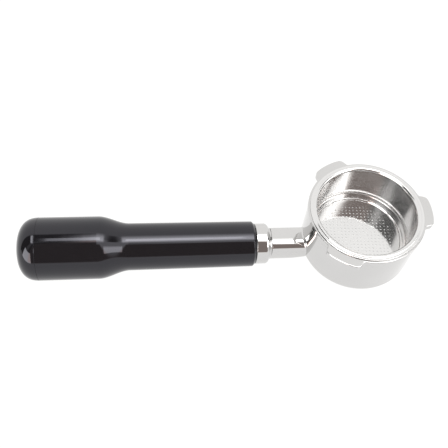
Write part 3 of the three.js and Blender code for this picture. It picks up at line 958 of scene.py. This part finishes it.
def floor():
    """A plain pale sheet under the collar and the ring's base, on which the object leans."""
    collar_low = handle_point(COLLAR_RADIUS, (COLLAR_START + COLLAR_END) / 2, -math.pi / 2)
    base_far = Vector(((RING_RADIUS - BASE_ROUND) * MM, 0.0, BASE * MM))
    slope = (base_far - collar_low).normalized()
    tilt = math.atan2(slope.z, slope.x)
    mesh = bmesh.new()
    half = FLOOR_SIZE / 2
    for x, y in ((-half, -half), (half, -half), (half, half), (-half, half)):
        mesh.verts.new((x, y, 0.0))
    mesh.faces.new(mesh.verts)
    data = bpy.data.meshes.new("floor")
    mesh.to_mesh(data)
    mesh.free()
    sheet = bpy.data.objects.new("floor", data)
    bpy.context.scene.collection.objects.link(sheet)
    sheet.rotation_euler = (0.0, -tilt, 0.0)
    sheet.location = collar_low - Vector((0.0, 0.0, FLOOR_CLEARANCE * MM))
    material, n = new_material("floor_white")
    position = n.add("ShaderNodeTexCoord").outputs["Object"]
    shade = n.ramp(n.noise(position, 3.0, 2.0), (0.3, (0.93, 0.925, 0.915)), (0.7, (0.95, 0.95, 0.95)))
    matt = n.add("ShaderNodeBsdfDiffuse", {"Color": (0.05, 0.05, 0.05, 1.0)})
    glow = n.add("ShaderNodeEmission", {"Color": shade, "Strength": FLOOR_GLOW})
    n.output(n.add("ShaderNodeAddShader", {0: matt.outputs[0], 1: glow.outputs[0]}))
    data.materials.append(material)


class SkyNodes(Nodes):
    """Builds masks over the directions of the world, in degrees.

    roll is the angle about X from the front horizon (0) over the top (90) to the back horizon (180)."""

    def __init__(self, tree):
        super().__init__(tree)
        towards = self.add("ShaderNodeTexCoord").outputs["Generated"]
        axes = self.add("ShaderNodeSeparateXYZ", {0: towards}).outputs
        self.x = axes["X"]
        self.azimuth = self.maths("WRAP", self.degrees(axes["Y"], axes["X"]), 360.0, 0.0)
        self.elevation = self.maths("MULTIPLY", self.maths("ARCSINE", axes["Z"]), 180 / math.pi)
        self.roll = self.degrees(axes["Z"], self.maths("MULTIPLY", axes["Y"], -1.0))

    def degrees(self, y, x):
        return self.maths("MULTIPLY", self.maths("ARCTAN2", y, x), 180 / math.pi)

    def rise(self, value, low, high):
        """0 below low and 1 above high, smooth between; turned round when low is above high."""
        first, last = (0.0, 1.0) if low < high else (1.0, 0.0)
        node = self.add("ShaderNodeMapRange", {
            "Value": value, "From Min": min(low, high), "From Max": max(low, high),
            "To Min": first, "To Max": last,
        }, interpolation_type="SMOOTHSTEP")
        return node.outputs["Result"]

    def all_of(self, *masks):
        product = masks[0]
        for mask in masks[1:]:
            product = self.maths("MULTIPLY", product, mask)
        return product

    def any_of(self, *masks):
        highest = masks[0]
        for mask in masks[1:]:
            highest = self.maths("MAXIMUM", highest, mask)
        return highest

    def sum_of(self, base, *weighted):
        """The base plus each mask times its weight."""
        total = base
        for mask, weight in weighted:
            total = self.maths("ADD", total, self.maths("MULTIPLY", mask, weight))
        return total


def lamp_mask(sky):
    """The long soft lamp overhead."""
    return sky.all_of(
        sky.rise(sky.roll, 76, 88), sky.rise(sky.roll, 118, 91),
        sky.rise(sky.x, -0.115, -0.04), sky.rise(sky.x, 0.50, 0.38),
    )


def right_window_mask(sky):
    return sky.all_of(
        sky.rise(sky.x, 0.42, 0.46), sky.rise(sky.roll, 32, 36), sky.rise(sky.roll, 84, 81),
    )


def left_windows_mask(sky):
    """A window low on the left and a narrow one above it."""
    low = sky.all_of(
        sky.rise(sky.x, -0.36, -0.40), sky.rise(sky.azimuth, 196, 201),
        sky.rise(sky.elevation, 4, 8), sky.rise(sky.elevation, 42, 38),
    )
    narrow = sky.all_of(
        sky.rise(sky.x, -0.34, -0.31), sky.rise(sky.x, -0.21, -0.24),
        sky.rise(sky.roll, 80, 84), sky.rise(sky.roll, 112, 108),
    )
    return sky.any_of(low, narrow)


def dark_mask(sky, right_window):
    """The unlit front of the studio, and the dark off both ends of the lamp."""
    front = sky.all_of(
        sky.rise(sky.azimuth, 132, 146), sky.rise(sky.azimuth, 312, 300), sky.rise(sky.roll, 73, 69),
        sky.rise(sky.elevation, 5, 10), sky.rise(sky.elevation, 80, 70),
    )
    beside = sky.all_of(
        sky.any_of(sky.rise(sky.x, 0.0, -0.04), sky.rise(sky.x, 0.50, 0.62)),
        sky.rise(sky.roll, 58, 64), sky.rise(sky.roll, 115, 110), sky.rise(sky.x, 0.8, 0.7),
        sky.maths("SUBTRACT", 1.0, right_window),
    )
    return sky.any_of(front, beside)


def studio():
    """A light tent as the world: white all round, with a lamp overhead, windows and a dark front."""
    world = bpy.data.worlds.new("studio")
    bpy.context.scene.world = world
    world.use_nodes = True
    sky = SkyNodes(world.node_tree)
    right_window = right_window_mask(sky)
    dark = dark_mask(sky, right_window)
    windows = sky.any_of(
        sky.all_of(right_window, sky.spread(sky.roll, 56.0, 66.0, 0.7, 0.0)), left_windows_mask(sky),
    )
    right = sky.all_of(sky.rise(sky.azimuth, 272, 290), sky.rise(sky.elevation, 30, 50))
    front = sky.all_of(sky.rise(sky.azimuth, 228, 240), sky.rise(sky.azimuth, 330, 300))
    left = sky.all_of(
        sky.rise(sky.azimuth, 200, 210), sky.rise(sky.azimuth, 228, 218), sky.rise(sky.elevation, 38, 48),
    )
    tent = sky.sum_of(TENT, (right, TENT_RIGHT))
    gloom = sky.sum_of(GLOOM, (front, GLOOM_FRONT), (left, GLOOM_LEFT))
    base = sky.add("ShaderNodeMix", {"Factor": dark, "A": tent, "B": gloom}, data_type="FLOAT")
    strength = sky.sum_of(base.outputs["Result"], (lamp_mask(sky), LAMP), (windows, WINDOWS))
    colour = sky.add("ShaderNodeMix", data_type="RGBA")
    sky.put(colour.inputs["Factor"], sky.all_of(dark, front))
    sky.put(colour.inputs["A"], TENT_TINT)
    sky.put(colour.inputs["B"], FRONT_TINT)
    shell = sky.add("ShaderNodeBackground", {"Strength": strength})
    sky.put(shell.inputs["Color"], colour.outputs["Result"])
    sky.output(shell, "ShaderNodeOutputWorld")


def softbox(name, azimuth, elevation, distance, width, depth, power):
    """A rectangular lamp that faces the object."""
    data = bpy.data.lights.new(name, "AREA")
    data.shape = "RECTANGLE"
    data.size, data.size_y = width, depth
    data.energy = power
    lamp = bpy.data.objects.new(name, data)
    level = polar(math.cos(math.radians(elevation)), math.radians(azimuth))
    away = Vector((level.x, level.y, math.sin(math.radians(elevation))))
    lamp.location = (CAD_LOW + CAD_HIGH) / 2 + away * distance
    lamp.rotation_mode = "QUATERNION"
    lamp.rotation_quaternion = away.to_track_quat("Z", "Y")
    bpy.context.scene.collection.objects.link(lamp)


def camera():
    """The eye that sees the object from above its front side."""
    data = bpy.data.cameras.new("camera")
    data.lens = CAMERA_LENS
    data.clip_start = 0.01
    eye = bpy.data.objects.new("camera", data)
    bpy.context.scene.collection.objects.link(eye)
    back = LOOK_RIGHT.cross(LOOK_UP).normalized()
    up = back.cross(LOOK_RIGHT).normalized()
    right = up.cross(back).normalized()
    turn = Matrix((right, up, back)).transposed()
    rim = Vector((0.0, 0.0, RIM_TOP * MM))
    eye.matrix_world = Matrix.Translation(rim + CAMERA_FROM_RIM) @ turn.to_4x4()
    bpy.context.scene.camera = eye


# ---------------------------------------------------------------- the scene

POLISHED = steel("polished_steel", (0.63, 0.625, 0.62), 0.05, 0.02, 900.0, 0.04, drawn=False)
BASKET = steel("basket_steel", (0.74, 0.735, 0.73), 0.08, 0.03, 1600.0, 0.05, drawn=True)
SPRING = steel("spring_steel", (0.50, 0.50, 0.49), 0.22, 0.05, 2500.0, 0.15, drawn=False)
STUD = steel("stud_steel", (0.46, 0.46, 0.47), 0.25, 0.06, 2500.0, 0.15, drawn=False)
BRASS = steel("brass", (0.72, 0.50, 0.20), 0.22, 0.06, 2000.0, 0.15, drawn=False)
PLASTIC = gloss_plastic("black_plastic", (0.0042, 0.0038, 0.0045), 0.06)
RUBBER = matt_rubber("rubber", (0.012, 0.012, 0.012))

filter_basket()
holder_ring()
neck()
collar()
grip()
end_cap()
washer()
seal_ring()
stud()
insert()
spring()
floor()
studio()
softbox("overhead", azimuth=90, elevation=88, distance=1.2, width=0.5, depth=0.2, power=1.0)
camera()
bpy.context.scene.view_settings.view_transform = "Standard"
